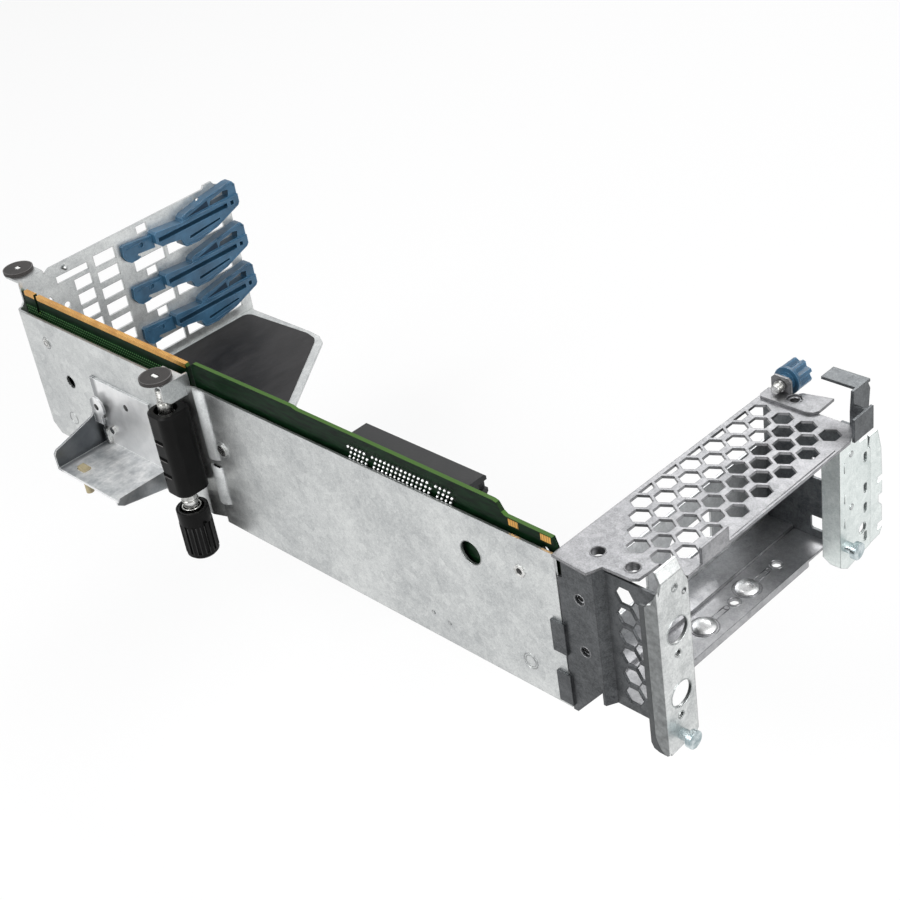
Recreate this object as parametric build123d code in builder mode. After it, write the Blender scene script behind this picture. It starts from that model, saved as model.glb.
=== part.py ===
"""Full-length server riser cage: folded steel tray and rear cage around a riser board.

The frame's origin is on the captive screw's axis, level with the tray's top edge. X runs along
the side plate towards the rear cage, Y across the card bay and Z up through the gold contacts.
Most sketches are drawn from the plate's top right corner, so a size reads as it would be measured.
"""
import os

from build123d import *

os.makedirs("parts", exist_ok=True)

# Frame and sheet
SHEET = 1.0
PLATE_END_X = 185.3
PLATE_FACE_Y = 9.7
CLEAR = 0.3

# Side plate, measured from its top right corner on the outer face
PLATE_H = 61.5
RAMP_RIGHT_X = -178.0
RAMP_LEFT_X = -184.0
JOGGLE = 2.0
LEFT_PLATE_H = 59.0
TRAY_LEFT_X = -296.5
WALL_IN_X = TRAY_LEFT_X + SHEET
WALL_TOP_Z = 11.0
WALL_FAR_Y = 112.0
FLOOR_DROP = 4.1
FLOOR_TOP_Z = FLOOR_DROP - LEFT_PLATE_H
FOLD_R = 2.5
FILM_CORNER = 4.0
RIB_LEFT_X = -177.8
RIB_RIGHT_X = -172.6
RIB_RISE = 0.9

# Card slots and board
SLOT_PITCH = 20.32
SLOT_COUNT = 3
SLOT_TOP_Z = 1.33
BOARD_NEAR_Y = 2.3
BOARD_T = 1.6
BOARD_FAR_Y = BOARD_NEAR_Y + BOARD_T
BOARD_BOTTOM_Z = FLOOR_TOP_Z + 1.4
BOARD_LEFT_TOP_Z = 7.2
CONTACT_T = 0.1
CONNECTOR_L = 56.0
CONNECTOR_W = 7.5
CONNECTOR_H = 11.25
CONNECTOR_X = -97.8
TAIL_SIZE = 0.7
TAIL_PITCH = 2.0

# Card guides
GUIDE_DEPTH = 5.2
FOOT_DEPTH = 2.0
GROOVE_W = 2.0
GROOVE_DEPTH = 3.6
GROOVE_LOW_Z = SLOT_TOP_Z - GROOVE_W / 2
ARM_STEP = 0.8

# Tray bracket
BRACKET_LEFT_X = -249.8
BRACKET_RIGHT_X = -210.0
SHELF_Z = -47.0
SHELF_Y = 27.7

# Captive screw
SCREW_AXIS = (-PLATE_END_X, -PLATE_FACE_Y)
SCREW_R = 2.0
SHANK_R = 3.0
SLEEVE_TOP_Z = -6.3
SLEEVE_BOTTOM_Z = -42.0
SLEEVE_X = -185.1
SLEEVE_W = 13.4
SLEEVE_DEPTH = 13.9
SLEEVE_GAP = 0.05
SLEEVE_CORNER = 4.5
KNOB_TOP_Z = -51.0
KNOB_BOTTOM_Z = -72.5
KNOB_R = 6.4
FIN_REACH = 7.35
DISC_R = 6.3
DISC_T = 1.4

# Rear cage
CAGE_W = 40.0
CAGE_FAR_Y = 105.0
HEX_FLATS = 6.5
HEX_STEP_X = 4.56
HEX_STEP_Y = 12.25
HEX_START_X = 0.8
HEX_START_Y = 102.8
EDGE_BORDER = 1.6
RAIL_Z = -50.0
SCREW_HOLE_R = 2.2
COLLAR_R = 2.9
POST_BOTTOM_Z = -60.3
POST_WEB_X = CAGE_W - 5.0
FAR_POST_X = CAGE_W - 2.0
FAR_POST_BOTTOM_Z = -51.6
PANEL_RIGHT_X = CAGE_W - 4.0
HOOK_TOP_Z = 14.0
LOCATING_R = 4.6
STUD_R = 1.9
STUD_HEAD_R = 3.1
STUD_NECK = 3.4

# Rear thumbscrew
THUMB_R = 5.0
THUMB_X = 5.5
THUMB_Z = 4.4
THUMB_SHANK_R = 1.6
EAR_Y = 109.6
KNOB_GAP = 2.2
THUMB_L = 7.6

CORNER = (PLATE_END_X, PLATE_FACE_Y, 0)
TOP = Plane(origin=CORNER, x_dir=(1, 0, 0), z_dir=(0, 0, 1))
SIDE = Plane(origin=CORNER, x_dir=(1, 0, 0), z_dir=(0, -1, 0))
END = Plane(origin=CORNER, x_dir=(0, 1, 0), z_dir=(1, 0, 0))


def save(builder, name):
    """Name one piece and write it."""
    builder.part.label = name
    export_step(builder.part, "parts/" + name + ".step")


def slab(plane, outline, thickness, mode=Mode.ADD):
    """Extrude a closed straight-sided outline from a plane."""
    with BuildSketch(plane) as profile:
        with BuildLine():
            Polyline(*outline, close=True)
        make_face()
    extrude(profile.sketch, amount=thickness, mode=mode)


def block(plane, low, high, thickness, mode=Mode.ADD):
    """Extrude the rectangle between two corners."""
    corners = [low, (high[0], low[1]), high, (low[0], high[1])]
    slab(plane, corners, thickness, mode)


def disc(plane, centre, radius, thickness, mode=Mode.ADD):
    """Extrude a circle."""
    with BuildSketch(plane) as profile:
        with Locations(centre):
            Circle(radius)
    extrude(profile.sketch, amount=thickness, mode=mode)


def slot(plane, low, high, corner, thickness):
    """Cut a rectangle with its four corners taken off."""
    with BuildSketch(plane) as profile:
        with Locations(((low[0] + high[0]) / 2, (low[1] + high[1]) / 2)):
            Rectangle(high[0] - low[0], high[1] - low[1])
        chamfer(profile.vertices(), corner)
    extrude(profile.sketch, amount=thickness, mode=Mode.SUBTRACT)


def pilot(plane, centres, radius, thickness):
    """Cut small eight-sided holes."""
    with BuildSketch(plane) as profile:
        with Locations(*centres):
            RegularPolygon(radius, 8)
    extrude(profile.sketch, amount=thickness, mode=Mode.SUBTRACT)


def hexagons(plane, centres, thickness, turn):
    """Cut a field of hexagonal openings."""
    with BuildSketch(plane) as profile:
        with Locations(*centres):
            RegularPolygon(HEX_FLATS / 2, 6, major_radius=False, rotation=turn)
    extrude(profile.sketch, amount=thickness, mode=Mode.SUBTRACT)


def wall_slots():
    """The end wall's ventilation slots as corner pairs in y and z."""
    boxes = [((19.0, 1.8), (35.1, 5.1))]
    for row in range(7):
        top = 0.1 - 7.1 * row
        boxes.append(((26.8, top - 5.3), (35.3, top)))
    for row in range(7):
        top = 6.0 - 7.9 * row
        if top - 5.4 > FLOOR_TOP_Z + 2:
            boxes.append(((38.4, top - 5.4), (49.2, top)))
    for index in range(SLOT_COUNT):
        shift = SLOT_PITCH * index
        boxes.append(((57.0, -10.6 - shift), (73.2, -5.0 - shift)))
        boxes.append(((75.0, -10.2 - shift), (88.5, -5.2 - shift)))
        boxes.append(((90.5, -10.2 - shift), (106.5, -5.2 - shift)))
        boxes.append(((62.0, 5.6 - shift), (67.5, 9.4 - shift)))
        boxes.append(((52.5, 0.4 - shift), (58.5, 3.4 - shift)))
    return boxes


# Folded tray: joggled side plate, end wall, floor and two upper tabs
with BuildPart() as tray:
    block(SIDE, (RAMP_RIGHT_X, -PLATE_H), (0, 0), -SHEET)
    slab(
        TOP.offset(-LEFT_PLATE_H),
        [(RAMP_LEFT_X, -JOGGLE), (RAMP_RIGHT_X, 0), (RAMP_RIGHT_X, SHEET), (RAMP_LEFT_X, SHEET - JOGGLE)],
        LEFT_PLATE_H,
    )
    slab(
        SIDE.offset(JOGGLE),
        [
            (TRAY_LEFT_X + FOLD_R, -LEFT_PLATE_H + 4),
            (TRAY_LEFT_X + FOLD_R + 4, -LEFT_PLATE_H),
            (RAMP_LEFT_X, -LEFT_PLATE_H),
            (RAMP_LEFT_X, 0),
            (TRAY_LEFT_X + FOLD_R, 0),
        ],
        -SHEET,
    )
    with BuildSketch(TOP.offset(FLOOR_TOP_Z)):
        with Locations((TRAY_LEFT_X + FOLD_R, FOLD_R - JOGGLE)):
            Circle(FOLD_R)
            Circle(FOLD_R - SHEET, mode=Mode.SUBTRACT)
            Rectangle(FOLD_R, 2 * FOLD_R, align=(Align.MIN, Align.CENTER), mode=Mode.SUBTRACT)
            Rectangle(2 * FOLD_R, FOLD_R, align=(Align.CENTER, Align.MIN), mode=Mode.SUBTRACT)
    extrude(amount=-FLOOR_TOP_Z)
    slab(
        END.offset(TRAY_LEFT_X),
        [
            (FOLD_R - JOGGLE, FLOOR_TOP_Z - SHEET),
            (WALL_FAR_Y, FLOOR_TOP_Z - SHEET),
            (WALL_FAR_Y, -6),
            (110.5, 9),
            (106, WALL_TOP_Z),
            (105, WALL_TOP_Z + 1.6),
            (100.5, WALL_TOP_Z + 1.6),
            (99.5, WALL_TOP_Z),
            (17, WALL_TOP_Z - 0.6),
            (14.5, WALL_TOP_Z - 2.2),
            (13.8, WALL_TOP_Z),
            (2.2, WALL_TOP_Z),
            (2.0, 2),
            (FOLD_R - JOGGLE, 0),
        ],
        SHEET,
    )
    slab(
        TOP.offset(FLOOR_TOP_Z - SHEET),
        [
            (TRAY_LEFT_X, SHEET - JOGGLE),
            (TRAY_LEFT_X, 111),
            (-254, 111.5),
            (-247, 110.8),
            (-241.7, 108.0),
            (-212.1, 66.4),
            (-186, 29),
            (RAMP_LEFT_X, 12),
            (RAMP_LEFT_X, SHEET - JOGGLE),
        ],
        SHEET,
    )
    for low, high in wall_slots():
        block(END.offset(TRAY_LEFT_X), low, high, SHEET, Mode.SUBTRACT)
    slab(END.offset(TRAY_LEFT_X), [(12.4, -3.8), (15.2, -3.8), (13.8, -1.4)], SHEET, Mode.SUBTRACT)
    pilot(END.offset(TRAY_LEFT_X), [(20.7, -8.9)], 1.7, SHEET)
    # Left tab, folded outwards from the wall's top edge
    with BuildSketch(TOP.offset(WALL_TOP_Z - SHEET)):
        with Locations((-304.5, 8.1)):
            Circle(6.0)
        with BuildLine():
            Polyline((-304.5, 2.2), (WALL_IN_X, 2.2), (WALL_IN_X, 13.8), (-304.5, 14.0), close=True)
        make_face()
    extrude(amount=SHEET)
    # Front tab, carried by a neck from the plate's top edge and closed by a hanging flange
    block(SIDE.offset(JOGGLE), (-194, -1), (RAMP_LEFT_X, 5), -SHEET)
    slab(
        TOP.offset(5 - SHEET),
        [(-194.5, -5.0), (-192.0, -11.5), (-181.6, -11.5), (-181.6, -1), (-194, -1)],
        SHEET,
    )
    slab(
        END.offset(-181.6),
        [(-11.5, 5), (-11.5, -1.5), (-9, -3.5), (-1.2, -3.5), (0.9, 0), (0.9, 5)],
        -SHEET,
    )
    # Holes in the plate
    disc(SIDE.offset(JOGGLE), (-268, -26.1), 2.75, -SHEET, Mode.SUBTRACT)
    pilot(SIDE.offset(JOGGLE), [(-227.4, -24.4)], 1.5, -SHEET)
    disc(SIDE, (-37.7, -15.5), 4.4, -SHEET, Mode.SUBTRACT)
    # Raised rib along the joggle, interrupted by one lanced notch
    for low, high in ((-51.0, -33.8), (-30.4, -1.2)):
        slab(
            TOP.offset(low),
            [
                (RIB_LEFT_X, 0),
                (RIB_LEFT_X + RIB_RISE, -RIB_RISE),
                (RIB_RIGHT_X - RIB_RISE, -RIB_RISE),
                (RIB_RIGHT_X, 0),
            ],
            high - low,
        )
save(tray, "riser_tray")

# Insulating film on the tray floor
with BuildPart() as film:
    slab(
        TOP.offset(FLOOR_TOP_Z),
        [
            (WALL_IN_X + 2, 20),
            (WALL_IN_X + 2, 107),
            (-254, 109.5),
            (-247.2, 108.2),
            (-244.6, 105.6),
            (-216, 65.6),
            (-192, 30),
            (-192, 20),
        ],
        0.3,
    )
    fillet(film.edges().filter_by(Axis.Z).sort_by(Axis.Y)[-5:], FILM_CORNER)
save(film, "floor_film")

# Riser board
with BuildPart() as board:
    slab(
        SIDE.offset(-BOARD_NEAR_Y),
        [
            (WALL_IN_X + CLEAR + 0.3, BOARD_BOTTOM_Z),
            (-0.2, BOARD_BOTTOM_Z),
            (-0.2, -1),
            (-2.2, 4.2),
            (-21.5, 4.4),
            (-23.0, 5.4),
            (-24.8, 8.2),
            (-26.5, 8.6),
            (-120.5, 9.0),
            (-122.5, 9.6),
            (-178.6, 9.0),
            (-180.2, 7.6),
            (-180.2, -4.0),
            (-183.0, -4.0),
            (-183.0, BOARD_LEFT_TOP_Z - 1),
            (-184.0, BOARD_LEFT_TOP_Z),
            (WALL_IN_X + CLEAR + 1.5, BOARD_LEFT_TOP_Z),
            (WALL_IN_X + CLEAR + 0.3, BOARD_LEFT_TOP_Z - 1),
        ],
        -BOARD_T,
    )
    disc(SIDE.offset(-BOARD_NEAR_Y), (-5.4, -2.0), 1.6, -BOARD_T, Mode.SUBTRACT)
    block(SIDE.offset(-BOARD_NEAR_Y), (-286.4, -1.0), (-284.6, BOARD_LEFT_TOP_Z), -BOARD_T, Mode.SUBTRACT)
save(board, "riser_board")

# Gold edge contacts: a band on each face of the board and the plating over its top edge
with BuildPart() as contacts:
    for left, right in ((-293.6, -286.5), (-284.5, -184.0)):
        top_right = (right, BOARD_LEFT_TOP_Z + CONTACT_T)
        block(SIDE.offset(-BOARD_FAR_Y), (left, 2.4), top_right, -CONTACT_T)
        block(SIDE.offset(-BOARD_NEAR_Y + CONTACT_T), (left, 5.4), top_right, -CONTACT_T)
        block(SIDE.offset(-BOARD_NEAR_Y), (left, BOARD_LEFT_TOP_Z), top_right, -BOARD_T)
save(contacts, "edge_contacts")

# Bare test pads at the board's rear end
with BuildPart() as pads:
    for left in (-20.4, -6.9):
        block(SIDE.offset(-BOARD_NEAR_Y + CONTACT_T), (left, 1.6), (left + 4.2, 4.0), -CONTACT_T)
save(pads, "board_pads")

# Slot connectors
for index in range(SLOT_COUNT):
    centre_z = SLOT_TOP_Z - SLOT_PITCH * index
    with BuildPart() as connector:
        block(
            SIDE.offset(-BOARD_FAR_Y),
            (CONNECTOR_X, centre_z - CONNECTOR_W / 2),
            (CONNECTOR_X + CONNECTOR_L, centre_z + CONNECTOR_W / 2),
            -CONNECTOR_H,
        )
        chamfer(connector.edges().filter_by(Axis.X).sort_by(Axis.Y)[-2:], 0.8)
        mouth = SIDE.offset(-BOARD_FAR_Y - CONNECTOR_H)
        for left, right in ((3.0, 14.7), (16.5, 53.0)):
            block(
                mouth,
                (CONNECTOR_X + left, centre_z - 0.9),
                (CONNECTOR_X + right, centre_z + 0.9),
                8.4,
                Mode.SUBTRACT,
            )
        block(
            mouth,
            (CONNECTOR_X + CONNECTOR_L - 1.4, centre_z - 1.6),
            (CONNECTOR_X + CONNECTOR_L, centre_z + 1.6),
            4.0,
            Mode.SUBTRACT,
        )
    save(connector, "slot_connector_" + str(index + 1))

# Solder tails of the top connector on the board's near face, above the side plate's edge
with BuildPart() as tails:
    with BuildSketch(SIDE.offset(-BOARD_NEAR_Y)):
        for row, height in enumerate((-1, 1, 3)):
            start = CONNECTOR_X + 4.5 + row % 2
            steps = [step for step in range(25) if step not in (5, 20)]
            spots = [(start + TAIL_PITCH * step, SLOT_TOP_Z + height) for step in steps]
            with Locations(*spots):
                Rectangle(TAIL_SIZE, TAIL_SIZE)
    extrude(amount=0.9)
save(tails, "solder_tails")


def lowered(outline, drop):
    """Move an outline down by one or more slots."""
    return [(across, up - drop) for across, up in outline]


def card_guide(drop):
    """Add one guide for the front end of a full-length card."""
    root = END.offset(WALL_IN_X)
    face = END.offset(WALL_IN_X + GUIDE_DEPTH)
    foot = [
        (51.9, 4.4), (51.5, -0.2), (53.0, -3.0), (54.8, -4.2), (58.6, -4.1), (60.1, -3.4),
        (58.3, -2.5), (58.9, -1.7), (68.0, -2.6), (68.0, 3.6), (53.0, 5.0),
    ]
    body = [
        (67.2, 0.0), (69.9, -2.3), (72.5, -2.2), (79.6, -3.3), (80.4, -6.6), (82.1, -7.8), (88.7, -8.1),
        (99.7, -6.0), (112.8, -1.2), (114.0, 0.1), (114.0, 8.6), (112.6, 10.6), (110.4, 10.7),
        (98.0, 8.8), (84.5, 6.3), (82.8, 5.2), (82.4, 3.9), (68.2, 5.2), (67.2, 4.4),
    ]
    window = [(98.3, 4.4), (109.4, 4.4), (109.9, 7.6), (107.0, 8.2), (99.5, 6.6)]
    slit = [(84.2, -4.8), (85.0, -5.0), (102.0, -3.3), (102.0, -2.4), (84.6, -3.7)]
    slab(root, lowered(foot, drop), FOOT_DEPTH)
    slab(root, lowered(body, drop), GUIDE_DEPTH)
    # Card groove with its end stop, the window under the upper arm and the slit of the lower one
    low = GROOVE_LOW_Z - drop
    for left, right in ((68.6, 107.4), (109.2, 111.0)):
        block(face, (left, low), (right, low + GROOVE_W), -GROOVE_DEPTH, Mode.SUBTRACT)
    slab(root, lowered(window, drop), GUIDE_DEPTH, Mode.SUBTRACT)
    slab(root, lowered(slit, drop), GUIDE_DEPTH, Mode.SUBTRACT)
    # Step that leaves the upper arm thinner than the body, and the mark in the foot
    block(face, (83.0, 4.2 - drop), (114.0, 11.0 - drop), -ARM_STEP, Mode.SUBTRACT)
    block(END.offset(WALL_IN_X + FOOT_DEPTH), (60.4, 0.4 - drop), (62.2, 2.8 - drop), -0.8, Mode.SUBTRACT)


for index in range(SLOT_COUNT):
    with BuildPart() as guide:
        card_guide(SLOT_PITCH * index)
    save(guide, "card_guide_" + str(index + 1))

# Tray bracket on the side plate: back plate, shelf, left flange with its ear, and right flange
SHELF = TOP.offset(SHELF_Z - SHEET)
with BuildPart() as bracket:
    block(SIDE.offset(JOGGLE), (BRACKET_LEFT_X, SHELF_Z), (BRACKET_RIGHT_X, -17), SHEET)
    slab(
        SHELF,
        [
            (BRACKET_LEFT_X, -JOGGLE),
            (BRACKET_LEFT_X, -SHELF_Y),
            (BRACKET_RIGHT_X + 2, -SHELF_Y),
            (BRACKET_RIGHT_X, -SHELF_Y + 3),
            (BRACKET_RIGHT_X, -JOGGLE),
        ],
        SHEET,
    )
    slab(
        END.offset(BRACKET_LEFT_X),
        [
            (-JOGGLE, SHELF_Z - SHEET),
            (-SHELF_Y, SHELF_Z - SHEET),
            (-SHELF_Y, -40.5),
            (-SHELF_Y + 1.2, -39.0),
            (-24.0, -38.4),
            (-7.0, -33.4),
            (-5.8, -31.5),
            (-JOGGLE, -31.5),
        ],
        SHEET,
    )
    slab(
        END.offset(BRACKET_RIGHT_X),
        [(-JOGGLE, SHELF_Z), (-JOGGLE, -55), (-4, -55), (-25, -51.3), (-SHELF_Y, -49.6), (-SHELF_Y, SHELF_Z)],
        SHEET,
    )
    with BuildSketch(SIDE.offset(5.0)):
        with Locations((-245.0, -28.2)):
            Circle(4.5)
        with Locations((-246.5, -33.2)):
            Rectangle(6.0, 6.0)
    extrude(amount=SHEET)
    block(TOP.offset(-36.0), (BRACKET_LEFT_X, -6.0), (-245.2, -JOGGLE), SHEET)
    pilot(SIDE.offset(6.0), [(-245.2, -28.4)], 1.6, -SHEET)
    slot(SHELF, (-242.4, -24.0), (-236.6, -19.4), 0.6, SHEET)
    pilot(SIDE.offset(JOGGLE), [(-227.4, -24.4)], 1.5, SHEET)
save(bracket, "tray_bracket")

# Tan foam pad in the bracket's lanced slot, and the pin below the shelf
with BuildPart() as pad:
    block(SHELF, (-242.2, -23.2), (-236.8, -20.2), 1.8)
save(pad, "bracket_pad")
with BuildPart() as pin:
    disc(SHELF, (-233.6, -25.0), 1.6, -6.0)
save(pin, "bracket_pin")

# Screw sleeve beside the joggle, with three slots in its front corner
with BuildPart() as sleeve:
    with BuildSketch(TOP.offset(SLEEVE_BOTTOM_Z)):
        with Locations((SLEEVE_X, -JOGGLE - SLEEVE_GAP - SLEEVE_DEPTH / 2)):
            RectangleRounded(SLEEVE_W, SLEEVE_DEPTH, SLEEVE_CORNER)
    extrude(amount=SLEEVE_TOP_Z - SLEEVE_BOTTOM_Z)
    chamfer(sleeve.faces().sort_by(Axis.Z)[-1].edges(), 0.8)
    length = SLEEVE_TOP_Z - SLEEVE_BOTTOM_Z
    disc(TOP.offset(SLEEVE_BOTTOM_Z), SCREW_AXIS, SHANK_R + CLEAR, length, Mode.SUBTRACT)
    disc(TOP.offset(SLEEVE_TOP_Z), SCREW_AXIS, 4.6, -6.0, Mode.SUBTRACT)
    corner_x = SLEEVE_X - SLEEVE_W / 2
    corner_y = -JOGGLE - SLEEVE_GAP - SLEEVE_DEPTH
    for level in (-21.0, -29.0, -36.5):
        block(TOP.offset(level), (corner_x, corner_y), (corner_x + 4.2, corner_y + 3.0), 1.3, Mode.SUBTRACT)
save(sleeve, "screw_sleeve")

# Captive screw with its retaining ring, and the knob that turns it
with BuildPart() as screw:
    disc(TOP.offset(KNOB_TOP_Z - 1.0), SCREW_AXIS, SHANK_R, 42.0)
    disc(TOP.offset(-10.0), SCREW_AXIS, SCREW_R, 12.5)
    disc(TOP.offset(-11.5), SCREW_AXIS, 3.6, 3.0)
save(screw, "captive_screw")
with BuildPart() as knob:
    disc(TOP.offset(KNOB_BOTTOM_Z), SCREW_AXIS, KNOB_R, KNOB_TOP_Z - KNOB_BOTTOM_Z)
    chamfer(knob.faces().sort_by(Axis.Z)[0].edges(), 1.0)
    with BuildSketch(TOP.offset(KNOB_BOTTOM_Z + 2.6)):
        with Locations(SCREW_AXIS):
            with PolarLocations(KNOB_R + 0.2, 12, start_angle=15):
                Rectangle(1.3, 1.1)
    extrude(amount=13, mode=Mode.SUBTRACT)
    disc(TOP.offset(KNOB_TOP_Z), SCREW_AXIS, 4.8, -2.5, Mode.SUBTRACT)
    disc(TOP.offset(KNOB_TOP_Z - 1.0), SCREW_AXIS, SHANK_R, -2.0)
    block(
        TOP.offset(KNOB_BOTTOM_Z + 5),
        (SCREW_AXIS[0] + KNOB_R - 0.6, SCREW_AXIS[1] - 0.7),
        (SCREW_AXIS[0] + FIN_REACH - 0.05, SCREW_AXIS[1] + 0.7),
        11.5,
    )
save(knob, "captive_knob")

# Insulator discs on the two upper tabs
with BuildPart() as disc_left:
    disc(TOP.offset(WALL_TOP_Z), (-304.5, 8.1), DISC_R, DISC_T)
    slot(TOP.offset(WALL_TOP_Z), (-306.0, 6.9), (-303.0, 9.3), 0.8, DISC_T)
save(disc_left, "insulator_left")
with BuildPart() as disc_front:
    disc(TOP.offset(5), (-188.5, -8.6), DISC_R, DISC_T)
    slot(TOP.offset(5), (-190.6, -9.6), (-186.4, -7.6), 0.7, DISC_T)
save(disc_front, "insulator_front")


def cage_top_hexagons():
    """Centres of the top plate's cells, from the back edge forwards."""
    spots = []
    for column in range(8):
        for step in range(-4, 8):
            x = HEX_START_X + HEX_STEP_X * column
            y = HEX_START_Y - HEX_STEP_Y * (column / 2 + step)
            corner = y < 24 and column < 3 or y < 30 and column < 2
            if 15 < y < 98.5 and not corner:
                spots.append((x, y))
    return spots


# Perforated top plate of the rear cage
with BuildPart() as top_plate:
    slab(
        TOP,
        [
            (0, -0.9),
            (14.6, -2.1),
            (16.7, 3.1),
            (27.1, 3.4),
            (29.2, 5.0),
            (29.8, 14),
            (CAGE_W, 14),
            (CAGE_W, 97.0),
            (CAGE_W - 3.4, CAGE_FAR_Y),
            (0, CAGE_FAR_Y),
        ],
        SHEET,
    )
    hexagons(TOP, cage_top_hexagons(), SHEET, 30)
    block(TOP, (0, 20), (EDGE_BORDER, CAGE_FAR_Y), SHEET)
    block(TOP, (CAGE_W - 3.0, 14.5), (CAGE_W, 91), SHEET)
    block(END.offset(CAGE_W), (21, 0), (34, 6.6), -SHEET)
    # Screw holes with their extruded collars below the sheet
    for spot in ((10.8, 8.2), (24.3, 8.1)):
        disc(TOP, spot, COLLAR_R, -1.8)
        disc(TOP.offset(SHEET), spot, SCREW_HOLE_R, -SHEET - 1.8, Mode.SUBTRACT)
save(top_plate, "cage_top_plate")

# Far flange: the doubled sheet with its screw hole and the upturned ear of the thumbscrew
EAR = SIDE.offset(-EAR_Y + SHEET)
with BuildPart() as far_flange:
    slab(
        TOP.offset(SHEET),
        [
            (0.5, 103.8),
            (1.4, 102.6),
            (19.6, 102.4),
            (21.8, 103.4),
            (22.8, 105.2),
            (22.6, 114.0),
            (12.2, 111.4),
            (10.6, EAR_Y),
            (0.5, EAR_Y - SHEET),
        ],
        SHEET,
    )
    disc(TOP.offset(SHEET), (11.8, 107.2), 2.4, SHEET, Mode.SUBTRACT)
    ear_left = THUMB_X - 3.9
    with BuildSketch(EAR):
        with BuildLine():
            Polyline(
                (ear_left, SHEET),
                (ear_left, THUMB_Z + 2.0),
                (ear_left + 1.2, THUMB_Z + 3.2),
                (ear_left + 6.6, THUMB_Z + 3.2),
                (ear_left + 7.8, THUMB_Z + 2.0),
                (ear_left + 7.8, SHEET),
                close=True,
            )
        make_face()
    extrude(amount=-SHEET)
    disc(EAR, (THUMB_X, THUMB_Z), THUMB_SHANK_R + CLEAR, -SHEET, Mode.SUBTRACT)
save(far_flange, "far_flange")

# Near side wall of the cage: plain front strip with hook tabs, then the perforated panel
PANEL = SIDE.offset(-3.5)
with BuildPart() as side_wall:
    slab(SIDE, [(0.5, -62), (2.4, -62), (15, -47), (15, 0), (0.5, 0)], -SHEET)
    slab(TOP.offset(-53), [(14, 0), (15, 0), (17, 3.5), (17, 4.5), (14, 1)], 53)
    block(PANEL, (16, -53), (PANEL_RIGHT_X, -1), -SHEET)
    for low in (-38.6, -59.6):
        block(SIDE.offset(SHEET), (-4.2, low), (0.5, low + 12.4), -SHEET)
        block(SIDE.offset(SHEET), (0.5, low), (1.5, low + 12.4), -SHEET - 0.5)
    pilot(SIDE, [(8.8, -13.2), (8.8, -33.9)], 1.75, -SHEET)
    block(SIDE, (0.5, -7.5), (2.5, 0), -SHEET, Mode.SUBTRACT)
    cells = [(24.0, -7.4 - 7.9 * row) for row in range(6)]
    cells += [(29.6, -11.2 - 7.9 * row) for row in range(5)]
    hexagons(PANEL, cells, -SHEET, 0)
save(side_wall, "cage_side_wall")

# Near post with its lead-in and locating holes
POST = END.offset(CAGE_W)
with BuildPart() as near_post:
    slab(
        POST,
        [
            (0.5, POST_BOTTOM_Z),
            (13, POST_BOTTOM_Z + 1),
            (14, POST_BOTTOM_Z + 2),
            (14, -0.2),
            (11.5, 5.5),
            (2, 5.5),
            (0.5, 2),
        ],
        -SHEET,
    )
    slab(
        SIDE.offset(0.5),
        [
            (POST_WEB_X, POST_BOTTOM_Z + 6),
            (POST_WEB_X + 1.2, POST_BOTTOM_Z + 2.6),
            (POST_WEB_X + 3, POST_BOTTOM_Z),
            (CAGE_W - 0.8, POST_BOTTOM_Z),
            (CAGE_W, POST_BOTTOM_Z + 0.8),
            (CAGE_W, 4),
            (CAGE_W - 2.5, -2.0),
            (POST_WEB_X, -3.2),
        ],
        -SHEET,
    )
    slab(
        SIDE.offset(-2.0),
        [(CAGE_W - SHEET, 5), (CAGE_W, 5), (CAGE_W - 1.7, 9), (CAGE_W - 2.7, 9)],
        -9.5,
    )
    block(SIDE.offset(-0.5), (PANEL_RIGHT_X - SHEET, -53), (PANEL_RIGHT_X, -3.2), -3.0)
    disc(POST, (7.6, -15), LOCATING_R, -SHEET, Mode.SUBTRACT)
    disc(POST, (7.3, -39.6), LOCATING_R, -SHEET, Mode.SUBTRACT)
    pilot(POST, [(7.8, 0.8), (11.9, -3), (7.1, -23.5), (6.4, -47.6)], 1.1, -SHEET)
save(near_post, "near_post")

# Far post with its keyhole column and toothed outer edge
FAR_POST = END.offset(FAR_POST_X)
with BuildPart() as far_post:
    slab(
        FAR_POST,
        [
            (94, -49),
            (98, FAR_POST_BOTTOM_Z),
            (111.5, FAR_POST_BOTTOM_Z + 2),
            (111.5, -10),
            (109.9, -10),
            (109.9, -5),
            (105.3, -5),
            (105.3, -0.8),
            (94, -0.8),
        ],
        -SHEET,
    )
    slab(
        SIDE.offset(-94),
        [
            (FAR_POST_X - 7, -47),
            (FAR_POST_X - 4, -49),
            (FAR_POST_X, -49),
            (FAR_POST_X, -0.8),
            (FAR_POST_X - 7, -0.8),
        ],
        -SHEET,
    )
    block(END.offset(FAR_POST_X - SHEET), (111.0, -50), (112.5, -10), -1.5)
    slab(
        END.offset(FAR_POST_X - 1.2),
        [
            (112.0, -51.2),
            (119.0, -50.6),
            (120.3, -48.3),
            (117.6, -48.3),
            (117.6, -45.4),
            (120.3, -45.4),
            (120.3, -39.0),
            (118.2, -36.6),
            (118.2, -33.9),
            (120.3, -33.9),
            (120.3, -28.7),
            (117.6, -28.7),
            (117.6, -26.2),
            (120.3, -26.2),
            (119.7, -15.4),
            (117.6, -7.2),
            (113.0, -7.2),
            (112.0, -12.0),
        ],
        -SHEET,
    )
    for level in (-12.2, -24.5, -32.5, -44.3):
        slot(FAR_POST, (107.6, level - 1.9), (109.4, level + 1.9), 0.5, -SHEET)
    pilot(FAR_POST, [(106.9, -40.1)], 2.2, -SHEET)
save(far_post, "far_post")

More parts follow.
